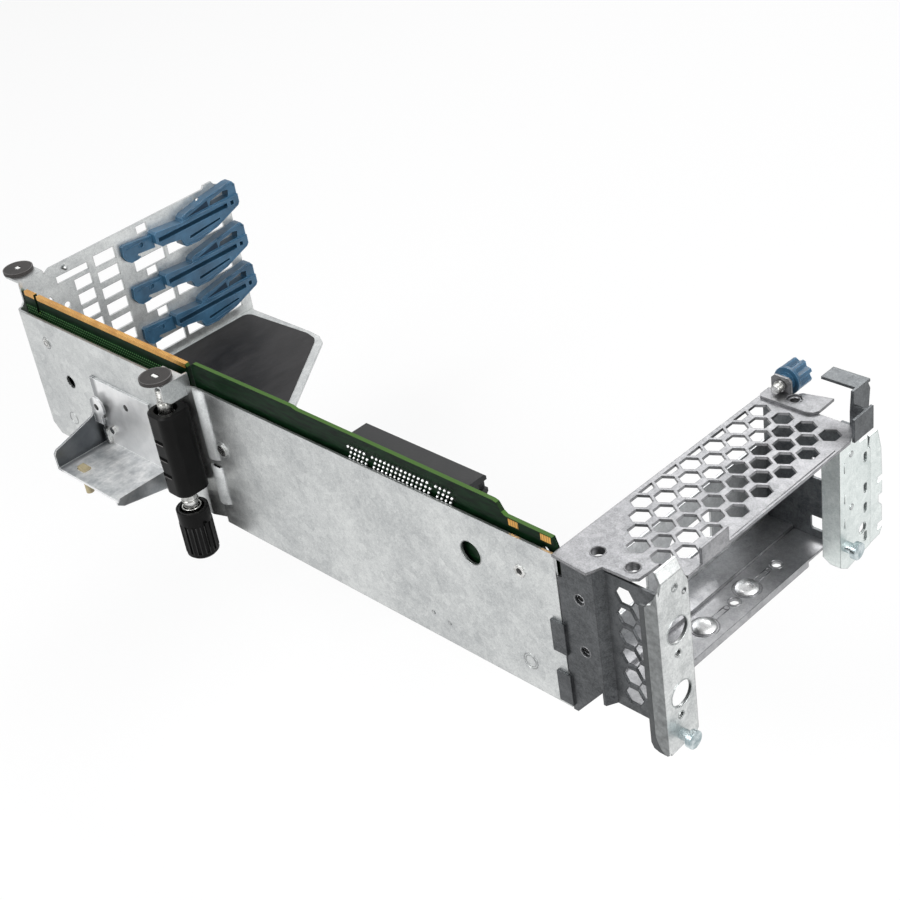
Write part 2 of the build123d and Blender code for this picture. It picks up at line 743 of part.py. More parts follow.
# Far side wall of the cage with its square windows and the hooked tab above
FAR = SIDE.offset(-CAGE_FAR_Y)
with BuildPart() as far_wall:
    block(FAR, (0.5, RAIL_Z), (PANEL_RIGHT_X, 0), -SHEET)
    slot(FAR, (19.3, -25.4), (26.5, -17.0), 0.6, -SHEET)
    slot(FAR, (18.6, -46.9), (26.5, -41.2), 0.6, -SHEET)
    block(FAR, (PANEL_RIGHT_X - 5, -9), (PANEL_RIGHT_X - 1.5, 1), -SHEET)
    slab(
        FAR,
        [
            (PANEL_RIGHT_X - 1.5, -5),
            (PANEL_RIGHT_X, -5),
            (PANEL_RIGHT_X, HOOK_TOP_Z),
            (PANEL_RIGHT_X - SHEET, HOOK_TOP_Z),
            (PANEL_RIGHT_X - 1.5, 6),
        ],
        -SHEET,
    )
    slab(
        END.offset(PANEL_RIGHT_X),
        [
            (CAGE_FAR_Y, 2.0),
            (CAGE_FAR_Y + 3.4, 3.6),
            (CAGE_FAR_Y + 8.6, 3.6),
            (CAGE_FAR_Y + 9.4, 10.6),
            (CAGE_FAR_Y + 7.8, HOOK_TOP_Z),
            (CAGE_FAR_Y, HOOK_TOP_Z),
        ],
        -SHEET,
    )
    block(TOP.offset(HOOK_TOP_Z - SHEET), (22.2, CAGE_FAR_Y + 2.4), (PANEL_RIGHT_X, CAGE_FAR_Y + 9.4), SHEET)
    block(END.offset(CAGE_W + SHEET), (98, 0.2), (CAGE_FAR_Y + 3.6, 8.7), -SHEET)
    block(FAR, (PANEL_RIGHT_X - SHEET, 0.2), (CAGE_W + SHEET, 8.7), -SHEET)
save(far_wall, "far_side_wall")

# Bottom rail with its domed locators, and the low back wall
RAIL_RIGHT_X = CAGE_W - 14.0
with BuildPart() as rail:
    block(TOP.offset(RAIL_Z - SHEET), (1, 4.5), (RAIL_RIGHT_X, CAGE_FAR_Y), SHEET)
    block(END.offset(RAIL_RIGHT_X), (14, RAIL_Z - 3), (93, RAIL_Z), -SHEET)
    block(TOP.offset(RAIL_Z), (1, 5), (11.5, CAGE_FAR_Y), 1.2)
    for spot in ((18.8, 45.2), (18.2, 69.0)):
        with BuildSketch(TOP.offset(RAIL_Z)):
            with Locations(spot):
                RegularPolygon(4.2, 12)
        extrude(amount=1.6)
        chamfer(rail.faces().sort_by(Axis.Z)[-1].edges(), 1.2)
    pilot(TOP.offset(RAIL_Z), [(19.0, 61.0), (18.6, 85.0)], 1.7, -SHEET)
save(rail, "bottom_rail")
with BuildPart() as back_wall:
    block(END, (5, RAIL_Z), (CAGE_FAR_Y, -17), SHEET)
    for low in (18.0, 52.0):
        slot(END, (low, -40), (low + 22, -27), 1.4, SHEET)
save(back_wall, "back_wall")

# Shoulder studs on the two posts
with BuildPart() as studs:
    for spot, face in (((6.0, -55.0), CAGE_W), ((97.1, -41.6), FAR_POST_X)):
        disc(END.offset(face), spot, STUD_R, STUD_NECK)
        disc(END.offset(face + STUD_NECK), spot, STUD_HEAD_R, 1.8)
save(studs, "shoulder_studs")

# Rear thumbscrew: the screw with its retaining ring, and the fluted knob
BACK = SIDE.offset(-EAR_Y)
with BuildPart() as thumb_screw:
    disc(BACK.offset(4.6), (THUMB_X, THUMB_Z), THUMB_SHANK_R, -4.6 - KNOB_GAP - 4.0)
    disc(BACK.offset(SHEET + CLEAR + 0.9), (THUMB_X, THUMB_Z), 2.1, -0.9)
save(thumb_screw, "thumb_screw")
with BuildPart() as thumb_knob:
    disc(BACK.offset(-CLEAR), (THUMB_X, THUMB_Z), 3.2, CLEAR - KNOB_GAP)
    disc(BACK.offset(-KNOB_GAP), (THUMB_X, THUMB_Z), THUMB_R, -THUMB_L)
    with BuildSketch(BACK.offset(-KNOB_GAP - 1.2)):
        with Locations((THUMB_X, THUMB_Z)):
            with PolarLocations(THUMB_R + 0.4, 8):
                RegularPolygon(1.5, 6)
    extrude(amount=1.2 - THUMB_L, mode=Mode.SUBTRACT)
    disc(BACK.offset(-CLEAR), (THUMB_X, THUMB_Z), THUMB_SHANK_R, CLEAR - KNOB_GAP - 4.0, Mode.SUBTRACT)
save(thumb_knob, "thumb_knob")

# Screws and rivets on the side plate
with BuildPart() as fasteners:
    for plane, spot, radius, height in (
        (SIDE.offset(JOGGLE), (-278.6, -10.8), 1.9, 0.5),
        (SIDE, (-169.0, -24.5), 2.4, 0.8),
    ):
        with BuildSketch(plane):
            with Locations(spot):
                RegularPolygon(radius, 16)
        extrude(amount=height)
save(fasteners, "plate_rivets")
with BuildPart() as clinch:
    with BuildSketch(SIDE):
        with Locations((-15.8, -13.0)):
            RegularPolygon(2.4, 6)
            Circle(1.2, mode=Mode.SUBTRACT)
    extrude(amount=0.4)
save(clinch, "clinch_nut")
with BuildPart() as bracket_screw:
    disc(SIDE.offset(JOGGLE + SHEET), (-241.3, -39.4), 1.6, 1.2)
    block(SIDE.offset(JOGGLE + SHEET), (-246.6, -46.9), (-244.6, -39.4), 2.0)
save(bracket_screw, "bracket_screw")
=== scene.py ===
"""Finish, light and photograph the server riser cage."""

import math

import bpy
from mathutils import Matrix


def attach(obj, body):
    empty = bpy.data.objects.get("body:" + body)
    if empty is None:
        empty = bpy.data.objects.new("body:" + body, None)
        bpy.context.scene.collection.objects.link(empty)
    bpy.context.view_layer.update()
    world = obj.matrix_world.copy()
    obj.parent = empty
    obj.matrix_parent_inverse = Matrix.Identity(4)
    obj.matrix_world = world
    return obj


bl_info = {
    "name": "Riser Cage Studio",
    "version": (1, 0, 0),
    "blender": (4, 5, 0),
    "location": "View3D > Sidebar > Riser Cage",
    "description": "Gives the riser cage its finishes, fine details, lights and camera",
    "category": "Material",
}

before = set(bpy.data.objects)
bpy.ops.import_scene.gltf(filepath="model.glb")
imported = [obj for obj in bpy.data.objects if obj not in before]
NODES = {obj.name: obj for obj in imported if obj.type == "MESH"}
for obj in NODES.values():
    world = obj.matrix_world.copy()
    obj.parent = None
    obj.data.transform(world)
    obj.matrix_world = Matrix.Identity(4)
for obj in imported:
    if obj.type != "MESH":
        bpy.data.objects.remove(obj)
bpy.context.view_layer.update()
MM = 0.001
# The side plate's top right corner in the part's frame. Every place below is in millimetres from it.
CORNER = (185.3, 9.7, 0.0)
# The side plate's front face, right and left of the joggle
PLATE_Y = 0.0
LEFT_PLATE_Y = -2.0
# Axes of the captive screw (x, y) and of the thumbscrew (x, z)
CAPTIVE_AXIS = (-185.3, -9.7)
THUMB_AXIS = (5.5, 4.4)
# Left end and top level of the slot connectors, and the step from one card slot to the next
SLOT_LEFT_X = -97.8
SLOT_TOP_Z = 1.33
SLOT_STEP = 20.32
# Inner face of the slotted end wall
WALL_X = -295.5
# Top face of the rear cage and of its bottom rail, and front faces of the two posts
CAGE_TOP_Z = 1.0
RAIL_Z = -50.0
NEAR_POST_X = 40.0
FAR_POST_X = 38.0
# Axes as they are numbered in a point
X, Y, Z = 0, 1, 2


def linear(hex_code):
    """Turn a six-figure sRGB hex colour into linear RGB with full opacity."""
    channels = [int(hex_code[i : i + 2], 16) / 255 for i in (0, 2, 4)]
    return (*(c / 12.92 if c <= 0.04045 else ((c + 0.055) / 1.055) ** 2.4 for c in channels), 1.0)


def paler(hex_code, gain, lift):
    """A lighter tone of a colour, for scuffed places and painted highlights."""
    return tuple(min(1, c * gain + lift) for c in linear(hex_code))


def feed(tree, node, inputs):
    """Link or set a node's inputs, given in their order, or by name or number."""
    pairs = inputs.items() if isinstance(inputs, dict) else enumerate(inputs)
    for key, value in pairs:
        if isinstance(value, bpy.types.NodeSocket):
            tree.links.new(value, node.inputs[key])
        else:
            node.inputs[key].default_value = value


def add(tree, kind, inputs=(), output=0, stops=(), **settings):
    """Add a shader node with its settings, links and colour stops; give one output or, for None, the node."""
    made = tree.nodes.new(kind)
    for name, value in settings.items():
        setattr(made, name, value)
    feed(tree, made, inputs)
    for number, (position, colour) in enumerate(stops):
        line = made.color_ramp.elements
        if number == len(line):
            line.new(position)
        line[number].position = position
        line[number].color = colour
    return made if output is None else made.outputs[output]


def start(name):
    """Start an empty material and give it with its tree, its shader and the object's coordinates."""
    material = bpy.data.materials.new(name)
    material.use_nodes = True
    tree = material.node_tree
    tree.nodes.clear()
    shader = add(tree, "ShaderNodeBsdfPrincipled", output=None)
    add(tree, "ShaderNodeOutputMaterial", (shader.outputs[0],), output=None)
    return material, tree, shader, add(tree, "ShaderNodeTexCoord", output="Object")


def mottle(tree, place, width_mm, detail=4.0, rough=0.55, stretch=(1, 1, 1)):
    """Irregular patches about width_mm wide, longer along the axes that have a small stretch factor."""
    moved = add(tree, "ShaderNodeMapping", {"Vector": place, "Scale": stretch})
    scale = {"Vector": moved, "Scale": 1 / (width_mm * MM), "Detail": detail, "Roughness": rough}
    return add(tree, "ShaderNodeTexNoise", scale, output="Fac")


def layered(tree, *patterns):
    """Sum of patterns, each taken with its share."""
    total = None
    for value, share in patterns:
        part = add(tree, "ShaderNodeMath", (value, share), operation="MULTIPLY")
        total = part if total is None else add(tree, "ShaderNodeMath", (total, part), operation="ADD")
    return total


def overlaid(tree, colour, *tints):
    """A colour with tints laid over it in turn, each where its mask is 1."""
    for mask, tint in tints:
        colour = add(tree, "ShaderNodeMix", {0: mask, 6: colour, 7: tint}, output=2, data_type="RGBA")
    return colour


def edge_mask(tree, width_mm, strength):
    """Mask that is strength at a piece's corners and edges and falls to 0 at width_mm from them."""
    facing = add(tree, "ShaderNodeNewGeometry", output="Normal")
    rounded = add(tree, "ShaderNodeBevel", {"Radius": width_mm * MM}, samples=4)
    agree = add(tree, "ShaderNodeVectorMath", (facing, rounded), output="Value", operation="DOT_PRODUCT")
    return add(tree, "ShaderNodeMapRange", (agree, 0.99, 0.84, 0, strength))


def facing_axes(tree):
    """The x, y and z parts of the surface's direction."""
    facing = add(tree, "ShaderNodeNewGeometry", output="Normal")
    return add(tree, "ShaderNodeSeparateXYZ", {"Vector": facing}, output=None).outputs


def relief(tree, shader, height, depth_mm, edge_mm=0.0):
    """Raise the surface by a pattern, over edges rounded by a small radius."""
    inputs = {"Height": height, "Strength": 1.0, "Distance": depth_mm * MM}
    if edge_mm:
        inputs["Normal"] = add(tree, "ShaderNodeBevel", {"Radius": edge_mm * MM}, samples=4)
    feed(tree, shader, {"Normal": add(tree, "ShaderNodeBump", inputs)})


def paint(node_names, material):
    """Put a material on CAD nodes through their own slots."""
    for name in node_names:
        for material_slot in NODES[name].material_slots:
            material_slot.link = "OBJECT"
            material_slot.material = material


def band(row, around):
    """Faces between one closed row of points and the next."""
    low, high = row * around, (row + 1) * around
    return [(low + n, low + (n + 1) % around, high + (n + 1) % around, high + n) for n in range(around)]


def ring(centre, axis, radius, thick, around=36, section=8):
    """Corners and faces of a torus."""
    first, second = [n for n in range(3) if n != axis]
    points = []
    for step in range(around):
        turn = 2 * math.pi * step / around
        for cut in range(section):
            tilt = 2 * math.pi * cut / section
            reach = radius + thick * math.cos(tilt)
            point = list(centre)
            point[first] += reach * math.cos(turn)
            point[second] += reach * math.sin(turn)
            point[axis] += thick * math.sin(tilt)
            points.append(point)
    faces = []
    for step in range(around):
        here, ahead = step * section, (step + 1) % around * section
        for cut in range(section):
            beside = (cut + 1) % section
            faces.append((here + cut, ahead + cut, ahead + beside, here + beside))
    return points, faces


def dome(centre, axis, radius, height, around=24, levels=5):
    """Corners and faces of a low cap on a face; a negative height points it the other way."""
    first, second = [n for n in range(3) if n != axis]
    points = []
    for level in range(levels):
        lift = math.pi / 2 * level / levels
        for step in range(around):
            turn = 2 * math.pi * step / around
            point = list(centre)
            point[first] += radius * math.cos(lift) * math.cos(turn)
            point[second] += radius * math.cos(lift) * math.sin(turn)
            point[axis] += height * math.sin(lift)
            points.append(point)
    peak = list(centre)
    peak[axis] += height
    points.append(peak)
    faces = [tuple(reversed(range(around)))]
    for level in range(levels - 1):
        faces += band(level, around)
    base = (levels - 1) * around
    faces += [(base + step, base + (step + 1) % around, len(points) - 1) for step in range(around)]
    return points, faces


def brick(low, high):
    """Corners and faces of a box."""
    points = [(x, y, z) for x in (low[0], high[0]) for y in (low[1], high[1]) for z in (low[2], high[2])]
    faces = [(0, 1, 3, 2), (4, 6, 7, 5), (0, 4, 5, 1), (2, 3, 7, 6), (0, 2, 6, 4), (1, 5, 7, 3)]
    return points, faces


def unit(direction):
    """A direction made 1 long."""
    length = math.sqrt(sum(c * c for c in direction))
    return [c / length for c in direction]


def cross(first, second):
    """The direction that is square to two others."""
    return [
        first[1] * second[2] - first[2] * second[1],
        first[2] * second[0] - first[0] * second[2],
        first[0] * second[1] - first[1] * second[0],
    ]


def capped(points, size):
    """Two rows of points with the faces between them and a cap at each end."""
    return points, [*band(0, size), tuple(reversed(range(size))), tuple(range(size, 2 * size))]


def rod(start_at, end_at, thick, section=10):
    """Corners and faces of a straight round bar between two points."""
    along = unit([b - a for a, b in zip(start_at, end_at)])
    side = unit(cross(along, (0, 0, 1) if abs(along[2]) < 0.9 else (1, 0, 0)))
    up = cross(along, side)
    points = []
    for end in (start_at, end_at):
        for cut in range(section):
            turn = 2 * math.pi * cut / section
            reach = (thick * (math.cos(turn) * s + math.sin(turn) * u) for s, u in zip(side, up))
            points.append([e + r for e, r in zip(end, reach)])
    return capped(points, section)


def bead(path, thick, section=6):
    """Round bars that follow a path of points."""
    return [rod(first, second, thick, section) for first, second in zip(path, path[1:])]


def prism(outline, axis, low, high):
    """Corners and faces of a flat outline drawn across an axis and given a thickness along it."""
    points = []
    for level in (low, high):
        for across, up in outline:
            point = [across, up]
            point.insert(axis, level)
            points.append(point)
    return capped(points, len(outline))


def bulge(low, high, centre_x, half, rise, cuts=12):
    """Corners and faces of an upright rib with a round front on the side plate."""
    radius = (half * half + rise * rise) / (2 * rise)
    outline = []
    for cut in range(cuts + 1):
        across = half * (2 * cut / cuts - 1)
        outline.append((centre_x + across, radius - rise - math.sqrt(radius * radius - across * across)))
    return prism(outline, Z, low, high)


def piece(name, shapes, material, body="cage", smooth=True):
    """Join shapes into one object that rides with a body."""
    corners, faces = [], []
    for points, polygons in shapes:
        base = len(corners)
        corners += [tuple((c + o) * MM for c, o in zip(point, CORNER)) for point in points]
        faces += [tuple(base + index for index in polygon) for polygon in polygons]
    mesh = bpy.data.meshes.new(name)
    mesh.from_pydata(corners, [], faces)
    mesh.polygons.foreach_set("use_smooth", [smooth] * len(mesh.polygons))
    mesh.materials.append(material)
    made = bpy.data.objects.new(name, mesh)
    bpy.context.collection.objects.link(made)
    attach(made, body)


def galvanised(name, light, dark, spangle_mm, rough_low, rough_high, front=None, edge=0.7, metallic=1.0):
    """Zinc on steel: crystals, grain, specks, scratches, painted shade on edges; front paints the -Y faces as
    shade.
    """
    material, tree, shader, place = start(name)
    cells = {"Vector": place, "Scale": 1 / (spangle_mm * MM)}
    crystals = add(tree, "ShaderNodeTexVoronoi", cells, output="Color")
    crystal = add(tree, "ShaderNodeSeparateColor", {"Color": crystals})
    clouds = mottle(tree, place, 26, 3, 0.6)
    # The real grain is finer than this and wouldn't show
    grain = mottle(tree, place, 0.55, 3, 0.8)
    scratches = mottle(tree, place, 3.5, 3, 0.7, (0.12, 1, 1))
    fleck = mottle(tree, place, 2.0, 4, 0.65)
    blend = layered(tree, (crystal, 0.07), (clouds, 0.35), (fleck, 0.25), (grain, 0.45))
    tones = [(0.42, linear(dark)), (0.68, linear(light))]
    colour = add(tree, "ShaderNodeValToRGB", {"Fac": blend}, stops=tones)
    specks = add(tree, "ShaderNodeMapRange", (mottle(tree, place, 0.7, 2, 0.5), 0.70, 0.76, 0, 0.35))
    # Painted shade: a dark line along every edge
    painted_edge_shade = edge_mask(tree, 0.55, edge)
    colour = overlaid(tree, colour, (specks, linear("6f7070")), (painted_edge_shade, linear("3e3f40")))
    # Painted shade: the -Y faces take the front colour
    if front:
        mask = add(tree, "ShaderNodeMapRange", (facing_axes(tree)[Y], -0.4, -0.9, 0, 1))
        colour = overlaid(tree, colour, (mask, overlaid(tree, linear(front), (fleck, linear(dark)))))
    rough = layered(tree, (clouds, 0.5), (scratches, 0.5))
    rough = add(tree, "ShaderNodeMapRange", (rough, 0.3, 0.7, rough_low, rough_high))
    feed(tree, shader, {"Base Color": colour, "Metallic": metallic, "Roughness": rough})
    relief(tree, shader, layered(tree, (grain, 0.5), (scratches, 0.5)), 0.035, 0.25)
    return material


def bright_sheet():
    """Smooth rolled sheet of the tray bracket, clouded by handling; painted light on its back, painted shade
    on its flanges, painted highlights on its edges.
    """
    material, tree, shader, place = start("bright_sheet")
    clouds = mottle(tree, place, 7, 5, 0.7)
    streaks = mottle(tree, place, 2.5, 3, 0.6, (1, 0.3, 0.3))
    blend = layered(tree, (clouds, 0.7), (streaks, 0.3))
    tones = [(0.36, linear("a6aaad")), (0.50, linear("cccecf")), (0.64, linear("ececec"))]
    colour = add(tree, "ShaderNodeValToRGB", {"Fac": blend}, stops=tones)
    across, ahead, up = facing_axes(tree)
    # Painted light: the back, facing -Y, is paler
    back = add(tree, "ShaderNodeMapRange", (ahead, -0.4, -0.9, 0, 0.75))
    # Painted shade: both flanges are darker, the left one most
    flank = add(tree, "ShaderNodeMath", (across, across), operation="MULTIPLY")
    flank = add(tree, "ShaderNodeMapRange", (flank, 0.4, 0.9, 0, 0.6))
    x = add(tree, "ShaderNodeSeparateXYZ", {"Vector": place})
    left = add(tree, "ShaderNodeMapRange", (x, -60 * MM, -62 * MM, 0, 0.75))
    flank_shade = linear("5c6064")
    colour = overlaid(tree, colour, (back, linear("ebebeb")), (flank, flank_shade), (left, flank_shade))
    # Painted highlight along the cut edges and folds
    edge_highlight = edge_mask(tree, 0.5, 0.9)
    colour = overlaid(tree, colour, (edge_highlight, linear("f4f5f5")))
    metal = add(tree, "ShaderNodeMapRange", (ahead, -0.4, -0.9, 1.0, 0.75))
    shelf = add(tree, "ShaderNodeMapRange", (up, 0.4, 0.9, 0, 0.45))
    metal = layered(tree, (metal, 1.0), (shelf, -1.0), (edge_highlight, -0.5))
    rough = add(tree, "ShaderNodeMapRange", (streaks, 0.3, 0.7, 0.28, 0.40))
    feed(tree, shader, {"Base Color": colour, "Metallic": metal, "Roughness": rough})
    relief(tree, shader, streaks, 0.02, 0.15)
    return material


def plated(name, light, dark, rough):
    """Bright plated steel of screws and studs, a little stained."""
    material, tree, shader, place = start(name)
    tones = [(0.35, linear(dark)), (0.65, linear(light))]
    colour = add(tree, "ShaderNodeValToRGB", {"Fac": mottle(tree, place, 2.5)}, stops=tones)
    fine = mottle(tree, place, 0.5)
    sheen = add(tree, "ShaderNodeMapRange", (fine, 0.3, 0.7, rough, rough + 0.15))
    feed(tree, shader, {"Base Color": colour, "Metallic": 1.0, "Roughness": sheen})
    relief(tree, shader, fine, 0.02, 0.15)
    return material


def plastic(name, light, dark, rough, grain_mm=0.6, depth_mm=0.03, wear=0.0, gloss=0.5, edge=0.0):
    """Moulded plastic with moulding grain, faint blotches, scuffs and painted highlights on its corners."""
    material, tree, shader, place = start(name)
    blotch = mottle(tree, place, 9, 4, 0.6)
    tones = [(0.3, linear(dark)), (0.7, linear(light))]
    colour = add(tree, "ShaderNodeValToRGB", {"Fac": blotch}, stops=tones)
    if wear:
        scuffs = mottle(tree, place, 1.6, 5, 0.75, (1, 1, 0.3))
        mask = add(tree, "ShaderNodeMapRange", (scuffs, 0.6, 0.75, 0, wear))
        colour = overlaid(tree, colour, (mask, paler(light, 2.2, 0.05)))
    # Painted highlight: paler corners and edges
    if edge:
        colour = overlaid(tree, colour, (edge_mask(tree, 0.4, edge), paler(light, 2.6, 0.03)))
    sheen = add(tree, "ShaderNodeMapRange", (blotch, 0.3, 0.7, rough, rough + 0.12))
    feed(tree, shader, {"Base Color": colour, "Roughness": sheen, "IOR": 1.49, "Specular IOR Level": gloss})
    # The grain of the mould is drawn coarser than the real one, so that it shows
    relief(tree, shader, mottle(tree, place, grain_mm, 3, 0.6), depth_mm, 0.2)
    return material


def solder_mask():
    """Green solder mask over glass laminate: woven tone, a field of plated holes and a bare sawn edge."""
    material, tree, shader, place = start("solder_mask_green")
    x, _, z = add(tree, "ShaderNodeSeparateXYZ", {"Vector": place}, output=None).outputs
    weave = mottle(tree, place, 1.2, 3, 0.6, (0.15, 1, 1))
    tones = [(0.35, linear("040f07")), (0.65, linear("0b2612"))]
    colour = add(tree, "ShaderNodeValToRGB", {"Fac": weave}, stops=tones)
    # Plated holes 1.3 mm apart under the contacts of the left part
    squares = []
    for along in (x, z):
        step = add(tree, "ShaderNodeMath", (along, 1.3 * MM), operation="DIVIDE")
        step = add(tree, "ShaderNodeMath", (step,), operation="FRACT")
        step = add(tree, "ShaderNodeMath", (step, 0.5), operation="SUBTRACT")
        squares.append(add(tree, "ShaderNodeMath", (step, step), operation="MULTIPLY"))
    reach = add(tree, "ShaderNodeMath", squares, operation="ADD")
    reach = add(tree, "ShaderNodeMath", (reach,), operation="SQRT")
    dots = add(tree, "ShaderNodeMath", (reach, 0.26), operation="LESS_THAN")
    limits = ((x, -4 * MM, "LESS_THAN"), (z, -7 * MM, "GREATER_THAN"), (z, 1.6 * MM, "LESS_THAN"))
    for value, limit, test in limits:
        inside = add(tree, "ShaderNodeMath", (value, limit), operation=test)
        dots = add(tree, "ShaderNodeMath", (dots, inside), operation="MULTIPLY")
    # Bare laminate on the board's upper edge
    sawn = add(tree, "ShaderNodeMapRange", (facing_axes(tree)[Z], 0.5, 0.8, 0, 1))
    colour = overlaid(tree, colour, (dots, linear("5d8a5a")), (sawn, linear("46672e")))
    feed(tree, shader, {"Base Color": colour, "Roughness": 0.4, "Specular IOR Level": 0.08})
    relief(tree, shader, weave, 0.02, 0.1)
    return material


def gold_contacts():
    """Gold plate split into contacts one millimetre apart, with resin between them."""
    material, tree, shader, place = start("gold_plate")
    x = add(tree, "ShaderNodeSeparateXYZ", {"Vector": place})
    phase = add(tree, "ShaderNodeMath", (x, 1.0 * MM), operation="DIVIDE")
    phase = add(tree, "ShaderNodeMath", (phase,), operation="FRACT")
    gap = add(tree, "ShaderNodeMath", (phase, 0.74), operation="GREATER_THAN")
    tint = mottle(tree, place, 6)
    tones = [(0.35, linear("c98f3e")), (0.65, linear("e8b565"))]
    gold = add(tree, "ShaderNodeValToRGB", {"Fac": tint}, stops=tones)
    colour = overlaid(tree, gold, (gap, linear("8f6a30")))
    metal = add(tree, "ShaderNodeMapRange", (gap, 0, 1, 0.85, 0.1))
    sheen = add(tree, "ShaderNodeMapRange", (tint, 0.3, 0.7, 0.32, 0.45))
    feed(tree, shader, {"Base Color": colour, "Metallic": metal, "Roughness": sheen})
    relief(tree, shader, add(tree, "ShaderNodeMath", (1.0, gap), operation="SUBTRACT"), 0.05)
    return material


def insulating_film():
    """Charcoal polyester film with handling smears and dust."""
    material, tree, shader, place = start("film_charcoal")
    smears = mottle(tree, place, 12, 6, 0.7, (1, 0.35, 1))
    dust = mottle(tree, place, 1.1, 2, 0.6)
    tones = [(0.42, linear("171617")), (0.62, linear("2e2d2e"))]
    colour = add(tree, "ShaderNodeValToRGB", {"Fac": smears}, stops=tones)
    specks = add(tree, "ShaderNodeMapRange", (dust, 0.66, 0.78, 0, 0.25))
    colour = overlaid(tree, colour, (specks, linear("575452")))
    sheen = add(tree, "ShaderNodeMapRange", (smears, 0.3, 0.7, 0.42, 0.6))
    feed(tree, shader, {"Base Color": colour, "Roughness": sheen, "Specular IOR Level": 0.25})
    relief(tree, shader, dust, 0.02)
    return material


class RiserFinish(bpy.types.PropertyGroup):
    """Sizes and colours of the finishes."""

    spangle: bpy.props.FloatProperty(
        name="Spangle",
        description="Width of a zinc crystal on the tray",
        default=4 * MM,
        min=0.5 * MM,
        subtype="DISTANCE",
        unit="LENGTH",
    )
    guide_blue: bpy.props.StringProperty(
        name="Guide blue", description="Colour of the card guides as sRGB hex", default="38627f"
    )
    mould_black: bpy.props.StringProperty(
        name="Moulding black",
        description="Colour of the sleeve and the captive knob as sRGB hex",
        default="0a0a0a",
    )


class RiserStudio(bpy.types.PropertyGroup):
    """Lights and camera."""

    key_power: bpy.props.FloatProperty(
        name="Key power", description="Power of the key light", default=9.0, min=0, subtype="POWER"
    )
    lens: bpy.props.FloatProperty(
        name="Lens",
        description="Focal length of the photograph's view",
        default=67.19,
        min=10,
        subtype="DISTANCE_CAMERA",
    )


class RISER_OT_sheet_metal(bpy.types.Operator):
    """Finish the folded sheet-metal pieces"""

    bl_idname = "riser.sheet_metal"
    bl_label = "Sheet metal"

    def execute(self, context):
        spangle_mm = context.scene.riser_finish.spangle / MM
        # Hot-dip galvanised sheet: pale, softly clouded grey with faint crystals
        paint(["riser_tray"], galvanised("zinc_sheet", "d8dad9", "a9acad", spangle_mm, 0.32, 0.46, edge=0.45))
        # The posts are the same sheet; the near one gets painted shade, a dark tint on its -Y faces
        paint(["near_post"], galvanised("zinc_post", "e0e2e1", "a8abab", 3.0, 0.30, 0.44, "383a3b"))
        paint(["far_post"], galvanised("zinc_far_post", "eef3f1", "c6cecc", 3.0, 0.32, 0.46))
        # Electro-galvanised sheet of the cage: duller and more even; the two side walls take darker tones of
        # it as painted shade
        paint(["cage_top_plate"], galvanised("zinc_cage_top", "9f9fa1", "6f7072", 2.2, 0.36, 0.52))
        paint(["far_flange"], galvanised("zinc_flange", "959597", "6b6c6d", 2.2, 0.36, 0.52))
        paint(["back_wall"], galvanised("zinc_back_wall", "cacccd", "9c9ea0", 2.2, 0.34, 0.5))
        paint(["far_side_wall"], galvanised("zinc_cage", "6e7173", "434547", 2.2, 0.30, 0.46))
        paint(["bottom_rail"], galvanised("zinc_rail", "b4b4b6", "898a8c", 2.2, 0.36, 0.52))
        paint(["cage_side_wall"], galvanised("zinc_side_wall", "66686a", "3a3c3e", 2.2, 0.38, 0.52))
        # Bright rolled sheet of the tray bracket: almost a mirror, clouded
        paint(["tray_bracket"], bright_sheet())
        return {"FINISHED"}


class RISER_OT_board(bpy.types.Operator):
    """Finish the riser board, its contacts and its connectors"""

    bl_idname = "riser.board"
    bl_label = "Riser board"

    def execute(self, context):
        # Screen-printed solder mask: dark satin green
        paint(["riser_board"], solder_mask())
        # Hard gold plate: warm yellow with fine dividing lines
        paint(["edge_contacts", "board_pads"], gold_contacts())
        # Wave-soldered tin: small bright beads
        paint(["solder_tails"], plated("tin_solder", "e6e8e6", "a2a6a2", 0.22))
        # Glass-filled nylon, moulded: dark grey and nearly matt
        nylon = plastic("connector_resin", "1d1e1f", "111213", 0.42, gloss=0.35)
        paint(["slot_connector_1", "slot_connector_2", "slot_connector_3"], nylon)
        return {"FINISHED"}


class RISER_OT_guides(bpy.types.Operator):
    """Finish the three blue card guides and the thumbscrew's knob"""

    bl_idname = "riser.guides"
    bl_label = "Card guides"

    def execute(self, context):
        light = context.scene.riser_finish.guide_blue
        # Moulded ABS: slate blue with a satin sheen and a painted highlight along its edges
        blue = plastic("guide_resin_blue", light, "26475f", 0.3, wear=0.3, gloss=0.5, edge=0.6)
        paint(["card_guide_1", "card_guide_2", "card_guide_3", "thumb_knob"], blue)
        return {"FINISHED"}


class RISER_OT_blacks(bpy.types.Operator):
    """Finish the black mouldings, the film, the discs and the tan pieces"""

    bl_idname = "riser.blacks"
    bl_label = "Black pieces"

    def execute(self, context):
        black = context.scene.riser_finish.mould_black
        # Moulded nylon: deep black with a few grey scuffs
        nylon = plastic("sleeve_resin", black, "040404", 0.36, wear=0.12, gloss=0.12)
        paint(["screw_sleeve", "captive_knob"], nylon)
        # Punched rubber sheet: flat dark grey
        rubber = plastic("disc_rubber", "3c3938", "22201f", 0.5, 0.5, 0.06, gloss=0.3)
        paint(["insulator_left", "insulator_front"], rubber)
        # Die-cut polyester film: charcoal with dull smears
        paint(["floor_film"], insulating_film())
        # Foamed rubber: flat tan
        paint(["bracket_pad", "bracket_pin"], plastic("tan_foam", "b7ab8a", "93876a", 0.7, 0.5, 0.08))
        return {"FINISHED"}


